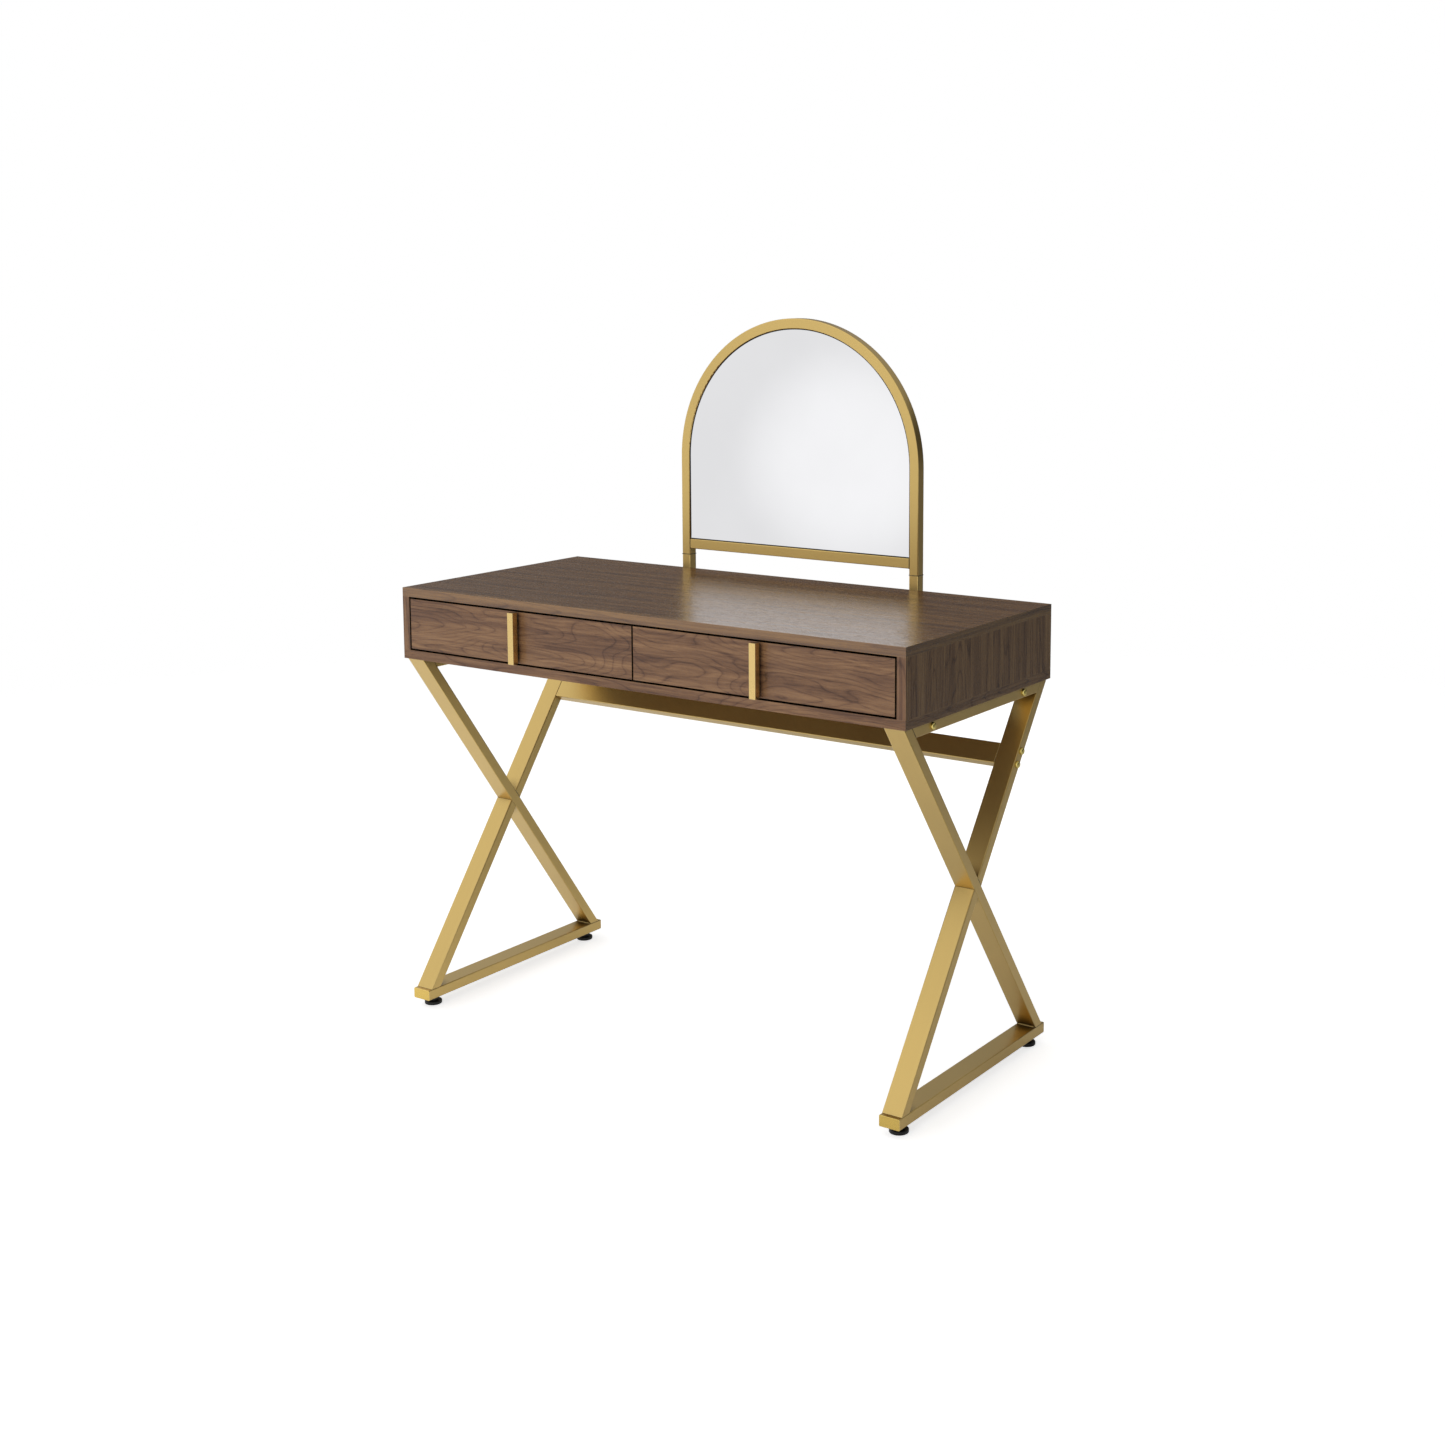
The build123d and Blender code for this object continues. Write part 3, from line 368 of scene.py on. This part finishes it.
def metal(name, base, worn_and_highlight_colour, roughness, cloud=0.03):
    """Plated or sprayed metal: fine orange peel, clouded gloss, lighter edges of wear and painted
    highlight.
    """
    s = Shader(name)
    place = s.place()
    clouds = s.noise(place, (6, 6, 6))
    grain = s.noise(place, (1100, 1100, 1100), detail=1.0)
    peel = s.noise(place, (420, 420, 420))
    paint = s.ramp(clouds, [(0.30, shaded(base, 1 - cloud)), (0.70, shaded(base, 1 + cloud))])
    # Painted highlight and wear: a lighter colour along the edges.
    paint = s.mix(s.math("MULTIPLY", s.edge(METAL_EDGE), METAL_WEAR_AND_HIGHLIGHT), paint, worn_and_highlight_colour)
    fleck = s.span(grain, 0.35, 0.75, 0.975, 1.02)
    # The fleck is the paint's own grain; the crevice shade is painted shade in seams, corners and round
    # bolts.
    paint = s.darkened(paint, s.math("MULTIPLY", fleck, s.crevice_shade(0.030, 0.15)))
    half_spread = METAL_GLOSS_SPREAD / 2
    gloss = s.span(clouds, 0.25, 0.75, roughness - half_spread, roughness + half_spread)
    gloss = s.math("ADD", gloss, s.swing(grain, 0.03))
    s.set(Base_Color=paint, Metallic=1.0, Roughness=gloss, Coat_Weight=0.5, Coat_Roughness=0.3)
    s.bump(s.plus(peel, grain, 0.25), 0.00005, METAL_PEEL)
    return s.material


def polished(name, base, roughness):
    """Turned metal: fine circular tool marks are too small to see, so only a soft haze and nicks."""
    s = Shader(name)
    place = s.place()
    haze = s.noise(place, (160, 160, 160), detail=3.0, roughness=0.65)
    nicks = s.span(s.noise(place, (900, 900, 260)), 0.66, 0.74)
    # Painted shade: the haze colour is darkened in the narrow gaps round the head's rim.
    tint = s.darkened(s.ramp(haze, [(0.3, shaded(base, 0.82)), (0.7, base)]), s.crevice_shade(0.004, 0.15))
    gloss = s.span(haze, 0.3, 0.7, roughness, roughness + 0.05)
    s.set(Base_Color=tint, Metallic=1.0, Roughness=s.plus(gloss, nicks, 0.2))
    s.bump(s.math("SUBTRACT", haze, nicks), 0.00004, 0.4)
    return s.material


def mirror(name):
    """Silvered float glass: a clean reflection with a trace of haze, and green-grey cut edges."""
    s = Shader(name)
    place = s.place()
    face = s.faces(s.normal()[1])
    haze = s.noise(place, (7, 7, 7), detail=3.0)
    smear = s.noise(place, (40, 40, 12), detail=4.0, roughness=0.7)
    silver = s.ramp(haze, [(0.3, colour(243, 243, 245)), (0.7, colour(246, 246, 248))])
    edge = s.ramp(smear, [(0.3, colour(38, 48, 45)), (0.7, colour(62, 76, 70))])
    soft = s.span(smear, 0.35, 0.8, 0.0, 0.012)
    s.set(Base_Color=s.mix(face, edge, silver), Metallic=face,
          Roughness=s.plus(soft, s.math("SUBTRACT", 1.0, face), 0.25))
    flat = s.add("ShaderNodeNewGeometry").outputs["Normal"]
    leaned = s.vector_math("ADD", flat, (0, 0, MIRROR_LEAN)).outputs[0]
    s.set(Normal=s.vector_math("NORMALIZE", leaned).outputs[0])
    return s.material


def plastic(name, dark, light):
    """Moulded plastic with a fine spark-eroded texture and slightly scuffed edges."""
    s = Shader(name)
    place = s.place()
    grain = s.noise(place, (1500, 1500, 1500))
    body = s.ramp(s.noise(place, (60, 60, 60)), [(0.3, dark), (0.7, light)])
    scuff = tuple(c * 2.2 + 0.01 for c in light[:3]) + (1,)
    body = s.mix(s.math("MULTIPLY", s.edge(0.0008), 0.4), body, scuff)
    gloss = s.span(grain, 0.3, 0.7, PLASTIC_ROUGHNESS - 0.06, PLASTIC_ROUGHNESS + 0.10)
    s.set(Base_Color=body, Roughness=gloss)
    s.bump(grain, 0.00005, 0.5)
    return s.material


def fibreboard(name, dark, light, grain_scale=(240, 240, 240), roughness=0.7):
    """Pressed or foiled board: fine mottle, scattered darker fibres and a dry face."""
    s = Shader(name)
    place = s.place()
    mottle = s.noise(place, grain_scale, detail=5.0, roughness=0.7)
    fibre = s.noise(place, (60, 900, 60))
    cloud = s.noise(place, (8, 8, 8))
    value = s.plus(s.math("MULTIPLY", mottle, 0.6), cloud, 0.4)
    body = s.ramp(value, [(0.35, dark), (0.65, light)])
    body = s.mix(s.span(fibre, 0.62, 0.75, 0.0, 0.35), body, dark)
    s.set(Base_Color=body, Roughness=s.span(mottle, 0.3, 0.7, roughness - 0.08, roughness + 0.08))
    s.bump(mottle, 0.0001, 0.5)
    return s.material


# Each metal's second colour is its edge colour, partly rubbed wear and partly painted highlight.
gold = metal("satin_gold", (0.71, 0.50, 0.165, 1), (0.96, 0.80, 0.46, 1), 0.34)
black = plastic("black_plastic", colour(16, 15, 14), colour(27, 26, 25))
SLOT_MATERIALS = {
    "gold_steel": gold,
    "handle_gold": metal("handle_gold", (0.88, 0.63, 0.24, 1), (0.98, 0.84, 0.52, 1), 0.28),
    "end_cap_gold": metal("cap_gold", (0.92, 0.64, 0.15, 1), (0.98, 0.82, 0.42, 1), 0.22),
    "zinc_steel": metal("bright_zinc", (0.55, 0.56, 0.58, 1), (0.72, 0.73, 0.75, 1), 0.30, cloud=0.12),
    "polished_brass": polished("polished_brass", (0.97, 0.80, 0.26, 1), 0.11),
    "insert_brass": polished("turned_brass", (0.62, 0.43, 0.18, 1), 0.28),
    "mirror_glass": mirror("mirror_glass"),
    "black_plastic": black,
    "drawer_box": fibreboard("drawer_foil", colour(148, 128, 104), colour(176, 156, 130),
                             grain_scale=(30, 420, 420), roughness=0.5),
    "backing_board": fibreboard("hardboard", colour(96, 66, 42), colour(134, 98, 66)),
    "dowel_beech": fibreboard("beech_dowel", colour(168, 128, 86), colour(200, 162, 116),
                              grain_scale=(180, 180, 900), roughness=0.6),
}


def paint_nodes():
    """Gives each walnut board its own veneer, and every other node the material of its slot."""
    for name, node in nodes.items():
        if name in WALNUT_BOARDS:
            finish = walnut("walnut_" + name, *WALNUT_BOARDS[name])
        else:
            finish = SLOT_MATERIALS[node.material_slots[0].material.name.split(".")[0]]
        for slot in node.material_slots:
            slot.material = finish


# ---- softened edges -----------------------------------------------------------------------------
BOARD_EDGE = 0.0006
TUBE_EDGE = 0.0007
HANDLE_EDGE = 0.0009
WELD_GAP = 0.00001
SHARP_ANGLE = math.radians(40)
# The top rails and the upper rear legs are left out: the bevel would distort round their bolt holes.
TUBE_ENDINGS = ("_leg", "_leg_lower", "_bar", "_post", "_frame", "_crossbar", "_stretcher")


def soften(name, width):
    """Rounds a node's sharp edges a little, as edge banding and cut tube ends are."""
    node = nodes[name]
    weld = node.modifiers.new("weld", "WELD")
    weld.merge_threshold = WELD_GAP
    bevel = node.modifiers.new("bevel", "BEVEL")
    bevel.width = width
    bevel.segments = 2
    bevel.limit_method = "ANGLE"
    bevel.angle_limit = SHARP_ANGLE
    bevel.harden_normals = True
    bevel.use_clamp_overlap = True


def soften_edges():
    for board in WALNUT_BOARDS:
        soften(board, BOARD_EDGE)
    for tube in [name for name in nodes if name.endswith(TUBE_ENDINGS)]:
        soften(tube, TUBE_EDGE)
    for handle in ("left_drawer_handle", "right_drawer_handle"):
        soften(handle, HANDLE_EDGE)


# ---- mesh helpers -------------------------------------------------------------------------------
def ring_of(mesh, centre, first, second, radius, sides):
    """A ring of vertices round centre, in the plane of two unit vectors."""
    turns = [2 * math.pi * k / sides for k in range(sides)]
    return [mesh.verts.new(centre + (first * math.cos(turn) + second * math.sin(turn)) * radius)
            for turn in turns]


def join_rings(mesh, a, b):
    """Faces between two rings that have the same number of vertices."""
    for k in range(len(a)):
        after = (k + 1) % len(a)
        mesh.faces.new((a[k], a[after], b[after], b[k]))


def smooth_faces(mesh):
    for face in mesh.faces:
        face.smooth = True


def piece_of(name, mesh, material):
    """Puts a finished bmesh in the scene as an object with one material."""
    data = bpy.data.meshes.new(name)
    mesh.to_mesh(data)
    mesh.free()
    piece = bpy.data.objects.new(name, data)
    scene.collection.objects.link(piece)
    data.materials.append(material)
    return piece


# ---- weld beads ---------------------------------------------------------------------------------
BEAD_RADIUS = 0.0013
BEAD_RIPPLES = 15
BEAD_STEPS_PER_RIPPLE = 6
BEAD_SIDES = 10
BEAD_WAVER = 0.00005
# The bead's ends stay clear of the floor bar's edges by this share of its width.
BEAD_INSET_SHARE = 0.06
# The bead lies this much nearer the desk's middle than the leg's corner, and above the bar.
BEAD_TOWARDS_MIDDLE = 0.0004
BEAD_LIFT = 0.0003
# A leg's vertices below this height over the bar are its foot.
FOOT_SLICE = 0.0005


def weld_bead(name, start, end):
    """A run of overlapping weld ripples, as one tapered, beaded mesh tube from start to end."""
    start, end = Vector(start), Vector(end)
    run = end - start
    steps = BEAD_RIPPLES * BEAD_STEPS_PER_RIPPLE
    side = run.normalized().orthogonal().normalized()
    up = run.normalized().cross(side)
    mesh = bmesh.new()
    rings = []
    for i in range(steps + 1):
        t = i / steps
        ripple = 0.82 + 0.18 * abs(math.sin(math.pi * BEAD_RIPPLES * t)) ** 0.6
        taper = min(1.0, 6 * t + 0.25, 6 * (1 - t) + 0.25)
        radius = BEAD_RADIUS * ripple * taper * random.uniform(0.97, 1.03)
        centre = start + run * t + side * random.uniform(-1, 1) * BEAD_WAVER
        rings.append(ring_of(mesh, centre, side, up, radius, BEAD_SIDES))
    for a, b in zip(rings, rings[1:]):
        join_rings(mesh, a, b)
    mesh.faces.new(reversed(rings[0]))
    mesh.faces.new(rings[-1])
    smooth_faces(mesh)
    bead = piece_of(name, mesh, gold)
    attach(bead, "root")


def add_weld_beads():
    """One bead across each leg's foot, in the corner between the leg and the floor bar."""
    for side in ("right", "left"):
        low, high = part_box(side + "_floor_bar")
        inset = (high.x - low.x) * BEAD_INSET_SHARE
        top = high.z + BEAD_LIFT
        for leg in ("front_leg", "rear_leg_lower"):
            vertices = nodes[side + "_" + leg].data.vertices
            foot = [v.co.y for v in vertices if v.co.z < high.z + FOOT_SLICE]
            inner_y = min(foot, key=abs)
            bead_y = inner_y * (1 - BEAD_TOWARDS_MIDDLE / abs(inner_y))
            weld_bead(side + "_" + leg + "_weld", (low.x + inset, bead_y, top),
                      (high.x - inset, bead_y, top))


# ---- mirror seal, and joint lines of painted shade ----------------------------------------------
SEAL_RADIUS = 0.0008
SEAL_LIFT = SEAL_RADIUS * 0.3
SEAL_FORWARD = 0.0001
SEAL_ARCH_STEPS = 96
SEAL_SIDE_STEPS = 24
# Radii of the dark cords that stand as painted shade in the joints.
POST_SEAM_RADIUS = 0.0006
CROSSBAR_SEAM_RADIUS = POST_SEAM_RADIUS * 0.7
SEAM_STEPS = 10
CORD_SIDES = 8


def closed_cord(name, path, across, radius):
    """A thin dark cord along a closed flat loop of points. across is the loop's own normal."""
    mesh = bmesh.new()
    across = Vector(across)
    rings = []
    for i, point in enumerate(path):
        along = (path[(i + 1) % len(path)] - path[i - 1]).normalized()
        rings.append(ring_of(mesh, point, along.cross(across), across, radius, CORD_SIDES))
    for i, ring in enumerate(rings):
        join_rings(mesh, ring, rings[(i + 1) % len(rings)])
    smooth_faces(mesh)
    bmesh.ops.recalc_face_normals(mesh, faces=mesh.faces)
    cord = piece_of(name, mesh, black)
    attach(cord, "root")


def add_mirror_seal():
    """A thin dark seal that runs round the front edge of the glass, inside the arched frame."""
    low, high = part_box("mirror_glass")
    half = (high.x - low.x) / 2
    spring = high.z - half
    bottom = low.z + SEAL_LIFT
    path = []
    for i in range(SEAL_SIDE_STEPS):
        path.append((half, bottom + (spring - bottom) * i / SEAL_SIDE_STEPS))
    for i in range(SEAL_ARCH_STEPS + 1):
        turn = math.pi * i / SEAL_ARCH_STEPS
        path.append((half * math.cos(turn), spring + half * math.sin(turn)))
    for i in range(1, SEAL_SIDE_STEPS):
        path.append((-half, spring + (bottom - spring) * i / SEAL_SIDE_STEPS))
    for i in range(SEAL_SIDE_STEPS):
        path.append((-half + 2 * half * i / SEAL_SIDE_STEPS, bottom))
    points = [Vector((x, low.y - SEAL_FORWARD, z)) for x, z in path]
    closed_cord("mirror_seal", points, (0, 1, 0), SEAL_RADIUS)


def rectangle(corners):
    """A closed run of evenly spaced points through four corners."""
    path = []
    for i, corner in enumerate(corners):
        end = corners[(i + 1) % 4]
        path += [corner.lerp(end, k / SEAM_STEPS) for k in range(SEAM_STEPS)]
    return path


def add_seam_shade_lines():
    """Painted shade: dark cords in the seams where the arched frame meets its posts and the crossbar's
    ends.
    """
    arch_low, arch_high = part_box("mirror_arch_frame")
    bar_low, bar_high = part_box("mirror_crossbar")
    front, back = arch_low.y, arch_high.y
    for side in ("right", "left"):
        low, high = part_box(side + "_mirror_post")
        corners = [(low.x, front), (high.x, front), (high.x, back), (low.x, back)]
        loop = rectangle([Vector((x, y, arch_low.z)) for x, y in corners])
        closed_cord(side + "_post_seam_shade", loop, (0, 0, 1), POST_SEAM_RADIUS)
        x = bar_high.x if side == "right" else bar_low.x
        corners = [(bar_low.y, bar_low.z), (bar_high.y, bar_low.z), (bar_high.y, bar_high.z),
                   (bar_low.y, bar_high.z)]
        loop = rectangle([Vector((x, y, z)) for y, z in corners])
        closed_cord(side + "_crossbar_seam_shade", loop, (1, 0, 0), CROSSBAR_SEAM_RADIUS)


# ---- floor --------------------------------------------------------------------------------------
FLOOR_RADIUS = 4.0
FLOOR_SIDES = 96
FLOOR_FADE = (1.0, 3.8)
STUDIO_FRONT = (-0.55, -0.83, 0.0)
# What the floor throws up: a glow that rises over a span in metres, towards the studio's front.
FLOOR_GLOW = (0.0, 0.34)
FLOOR_GLOW_SPAN = (-0.45, 0.60)
# The glow that the camera sees, which lifts the floor to the white of the background.
FLOOR_SEEN = 0.66


def floor_material():
    """A pale floor that fades into the white background, lifted towards white where it is seen."""
    s = Shader("pale_floor")
    place = s.place()
    fine = s.noise(place, (40, 40, 40), detail=3.0)
    glow = s.span(s.dot(place, STUDIO_FRONT), *FLOOR_GLOW_SPAN, *FLOOR_GLOW)
    seen = s.add("ShaderNodeLightPath").outputs["Is Camera Ray"]
    glow = s.math("MAXIMUM", glow, s.math("MULTIPLY", seen, FLOOR_SEEN))
    s.set(Base_Color=s.ramp(fine, [(0.3, grey(0.80)), (0.7, grey(0.83))]), Roughness=0.9,
          Specular_IOR_Level=0.1, Emission_Color=grey(1), Emission_Strength=glow)
    distance = s.vector_math("LENGTH", place).outputs["Value"]
    clear = s.add("ShaderNodeBsdfTransparent").outputs[0]
    open_floor = s.mix_shader(s.span(distance, *FLOOR_FADE), s.surface.outputs[0], clear)
    s.put(s.output.inputs["Surface"], open_floor)
    return s.material


def add_floor():
    mesh = bmesh.new()
    bmesh.ops.create_circle(mesh, cap_ends=True, radius=FLOOR_RADIUS, segments=FLOOR_SIDES)
    floor = piece_of("floor", mesh, floor_material())


# ---- studio -------------------------------------------------------------------------------------
# (how far a direction points to the studio's front, from -1 to 1 and then smoothed; its brightness)
STUDIO_LEVELS = [(-1.0, 0.04), (-0.45, 0.07), (-0.05, 0.19), (0.35, 0.64), (0.65, 0.93), (1.0, 0.83)]
STUDIO_FLOOR_LEVEL = 0.18
STUDIO_FLOOR_SPAN = (0.02, -0.10)
# A ceiling panel: it starts over the first span upwards, and its level rises to the left.
STUDIO_ABOVE = (0.28, 0.40)
STUDIO_ABOVE_LEFT = (0.35, 0.70)
STUDIO_ABOVE_LEVELS = (0.38, 0.85)
# Each softbox: (direction, how closely a direction must match for no glow and for all of it, glow)
SOFTBOXES = [((-0.540, -0.841, -0.032), (0.9980, 0.99985), 0.155),
             ((-0.50, -0.80, 0.33), (0.955, 0.990), 0.45)]
UP = (0, 0, 1)
LEFT = (-1, 0, 0)


def add_world():
    """A studio tent for reflections and light, and plain white behind it for the camera."""
    world = bpy.data.worlds.new("studio")
    world.use_nodes = True
    scene.world = world
    s = NodeTree(world.node_tree)
    direction = s.add("ShaderNodeTexCoord").outputs["Generated"]

    def towards(axis, low, high, to_low, to_high):
        """A smooth rise from to_low to to_high as directions come to point along the axis."""
        share = s.dot(direction, Vector(axis).normalized())
        return s.span(share, low, high, to_low, to_high, "SMOOTHSTEP")

    stops = [((turn + 1) / 2, grey(level)) for turn, level in STUDIO_LEVELS]
    around = s.add("ShaderNodeRGBToBW")
    s.put(around.inputs[0], s.ramp(towards(STUDIO_FRONT, -1, 1, 0, 1), stops))
    below = towards(UP, *STUDIO_FLOOR_SPAN, 0, STUDIO_FLOOR_LEVEL)
    level = s.math("MAXIMUM", around.outputs[0], below)
    above = s.math("MULTIPLY", towards(UP, *STUDIO_ABOVE, 0, 1),
                   towards(LEFT, *STUDIO_ABOVE_LEFT, *STUDIO_ABOVE_LEVELS))
    level = s.math("MAXIMUM", level, above)
    for axis, spread, glow in SOFTBOXES:
        level = s.math("ADD", level, towards(axis, *spread, 0, glow))

    tent = s.add("ShaderNodeBackground")
    s.put(tent.inputs["Color"], level)
    backdrop = s.add("ShaderNodeBackground")
    s.put(backdrop.inputs["Color"], grey(1))
    seen = s.add("ShaderNodeLightPath").outputs["Is Camera Ray"]
    either = s.mix_shader(seen, tent.outputs[0], backdrop.outputs[0])
    s.put(s.add("ShaderNodeOutputWorld").inputs["Surface"], either)


# ---- lights -------------------------------------------------------------------------------------
LIGHT_TARGET = Vector((0, 0, 0.6))


def area_light(name, place, size, power):
    """A rectangle of light aimed at the desk, left out of reflections."""
    data = bpy.data.lights.new(name, "AREA")
    data.shape = "RECTANGLE"
    data.size, data.size_y = size
    data.energy = power
    light = bpy.data.objects.new(name, data)
    scene.collection.objects.link(light)
    light.location = place
    light.rotation_euler = (LIGHT_TARGET - Vector(place)).to_track_quat("-Z", "Y").to_euler()
    light.visible_glossy = False


def add_lights():
    area_light("key", (0.9, -3.4, 1.9), (1.4, 1.4), 5)
    area_light("back_fill", (-0.6, 3.0, 0.9), (2.2, 1.2), 12)


add_camera()
paint_nodes()
soften_edges()
add_weld_beads()
add_mirror_seal()
add_seam_shade_lines()
add_floor()
add_world()
add_lights()
scene.view_settings.view_transform = "Standard"
